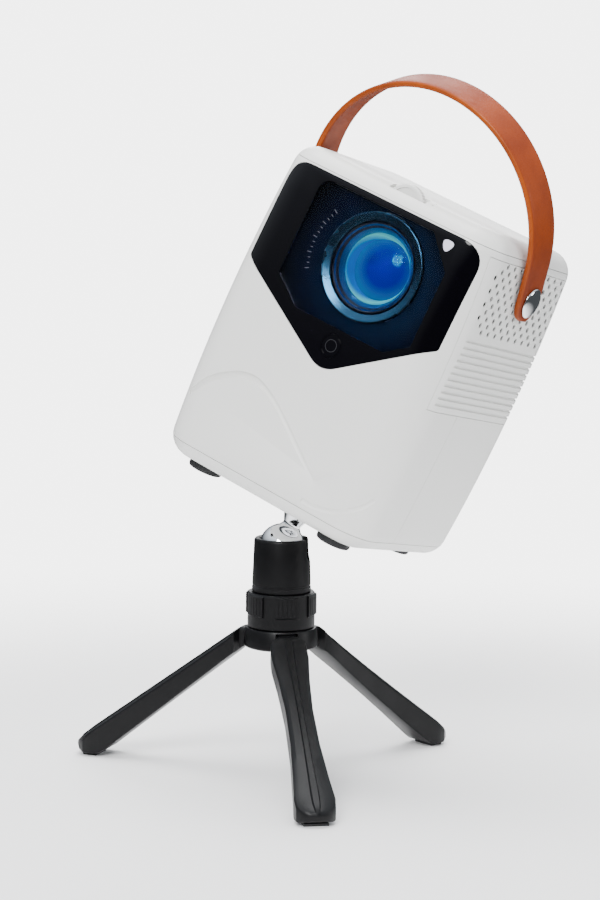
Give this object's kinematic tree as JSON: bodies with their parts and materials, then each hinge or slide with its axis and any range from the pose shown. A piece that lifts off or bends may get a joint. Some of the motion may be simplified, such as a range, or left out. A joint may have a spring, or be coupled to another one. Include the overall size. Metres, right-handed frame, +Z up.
{
  "type": "portable projector on mini tripod",
  "caption": "Upright LCD home projector with a glossy lens fascia, vented corner covers and a leather carry strap, screwed to a ball-head mini tripod.",
  "frame": {"origin": "centre of the object's footprint at floor level, under the middle of its overall box", "axes": "+Z up; the tripod's front leg points along -Y; the projector's lens faces front, turned about 40 degrees towards -X and tipped slightly by the ball head"},
  "size_m": [0.2724, 0.2064, 0.4031],
  "materials": {
    "white_shell": "fine matt, warm white",
    "gloss_black": "piano black with a violet anti-reflection tint",
    "clear_window": "clear polished window",
    "black_plastic": "satin black",
    "rubber": "matt black",
    "lens_glass": "coated optical glass",
    "clear_optic": "clear optical plastic",
    "lcd": "dark polarised panel",
    "chrome": "mirror polished",
    "steel": "brushed",
    "ring_metal": "satin anodised, bluish grey",
    "aluminium": "as extruded",
    "leather": "smooth tan",
    "board": "green solder mask",
    "led_board": "white",
    "brass": "turned",
    "icon_white": "white"
  },
  "bodies": {
    "stand": {"hub": "black_plastic", "leg_pin_1": "steel", "leg_pin_2": "steel", "leg_pin_3": "steel"},
    "leg_1": {"leg_1": "black_plastic", "leg_pad_1": "rubber"},
    "leg_2": {"leg_2": "black_plastic", "leg_pad_2": "rubber"},
    "leg_3": {"leg_3": "black_plastic", "leg_pad_3": "rubber"},
    "lock_ring": {"lock_ring": "black_plastic"},
    "head": {"ball_housing": "black_plastic", "ball_seat": "black_plastic"},
    "camera_screw": {"ball_stud": "chrome", "platform_plate": "black_plastic", "platform_pad": "rubber"},
    "projector": {"front_shell": "white_shell", "rear_shell": "white_shell", "top_cover": "white_shell", "base_plate": "white_shell", "right_vent_cover": "white_shell", "left_vent_cover": "white_shell", "rubber_foot_1": "rubber", "rubber_foot_2": "rubber", "rubber_foot_3": "rubber", "rubber_foot_4": "rubber", "tripod_nut": "brass", "front_fascia": "gloss_black", "front_window": "clear_window", "sensor_window": "icon_white", "lens_hood": "black_plastic", "lens_surround_ring": "ring_metal", "focus_pin": "steel", "lens_mount": "black_plastic", "optical_box": "black_plastic", "fresnel_lens": "clear_optic", "lcd_panel": "lcd", "rear_fresnel": "clear_optic", "condenser_lens": "lens_glass", "led_board": "led_board", "heat_sink": "aluminium", "fan_frame": "black_plastic", "speaker": "black_plastic", "main_board": "board", "power_board": "board", "hdmi_port": "steel", "usb_port": "steel", "audio_jack": "black_plastic", "dc_inlet": "steel", "strap_stud_right": "chrome", "strap_stud_left": "chrome"},
    "key": {"power_key": "black_plastic"},
    "barrel": {"lens_barrel": "black_plastic", "front_lens": "lens_glass", "rear_lens": "lens_glass"},
    "focus_ring": {"focus_ring": "black_plastic"},
    "focus_wheel": {"focus_wheel": "white_shell"},
    "fan_rotor": {"fan_rotor": "black_plastic"},
    "strap": {"carry_strap": "leather"}
  },
  "joints": [
    {"name": "leg_1_spread", "type": "hinge", "parent": "stand", "child": "leg_1", "pos_m": [-0.0232, 0.00846, 0.0795], "axis": [1, 0, 0], "range_deg": [0, 52]},
    {"name": "leg_2_spread", "type": "hinge", "parent": "stand", "child": "leg_2", "pos_m": [-0.0102, 0.03096, 0.0795], "axis": [-0.5, 0.866, 0], "range_deg": [0, 52]},
    {"name": "leg_3_spread", "type": "hinge", "parent": "stand", "child": "leg_3", "pos_m": [-0.03619, 0.03096, 0.0795], "axis": [-0.5, -0.866, 0], "range_deg": [0, 52]},
    {"name": "lock_ring_twist", "type": "hinge", "parent": "stand", "child": "lock_ring", "pos_m": [-0.0232, 0.02346, 0.0965], "axis": [0, 0, 1], "range_deg": [0, 60]},
    {"name": "head_pan", "type": "hinge", "parent": "stand", "child": "head", "pos_m": [-0.0232, 0.02346, 0.1327], "axis": [0, 0, 1], "continuous": true},
    {"name": "ball_tilt", "type": "hinge", "parent": "head", "child": "camera_screw", "pos_m": [-0.0232, 0.02346, 0.1327], "axis": [0.2521, 0.9677, 0], "range_deg": [-63, 26]},
    {"name": "projector_swivel", "type": "hinge", "parent": "camera_screw", "child": "projector", "pos_m": [-0.0232, 0.02346, 0.1327], "axis": [0.389, -0.1013, 0.9157], "continuous": true},
    {"name": "strap_swing", "type": "hinge", "parent": "projector", "child": "strap", "pos_m": [0.0502, 0.00434, 0.30549], "axis": [0.6923, -0.6236, -0.3631], "range_deg": [-66, 20]},
    {"name": "focus_wheel_turn", "type": "hinge", "parent": "projector", "child": "focus_wheel", "pos_m": [0.03345, -0.04129, 0.33125], "axis": [0.6078, 0.7752, -0.1724], "range_deg": [-270, 270]},
    {"name": "focus_ring_turn", "type": "hinge", "parent": "projector", "child": "focus_ring", "pos_m": [0.01851, -0.0374, 0.29609], "axis": [0.6078, 0.7752, -0.1724], "range_deg": [-40, 40]},
    {"name": "lens_focus", "type": "slide", "parent": "projector", "child": "barrel", "axis": [0.6078, 0.7752, -0.1724], "range_m": [-0.0022, 0.0022]},
    {"name": "power_key_press", "type": "slide", "parent": "projector", "child": "key", "axis": [0.6078, 0.7752, -0.1724], "range_m": [0, 0.0008], "stiffness_N_per_m": 1500},
    {"name": "fan_spin", "type": "hinge", "parent": "projector", "child": "fan_rotor", "pos_m": [0.00227, 0.04716, 0.3058], "axis": [0.6923, -0.6236, -0.3631], "continuous": true}
  ],
  "couplings": [
    {"joint": "focus_wheel_turn", "follows": "lens_focus", "rad_per_m": 2141},
    {"joint": "focus_ring_turn", "follows": "lens_focus", "rad_per_m": -305.86}
  ]
}
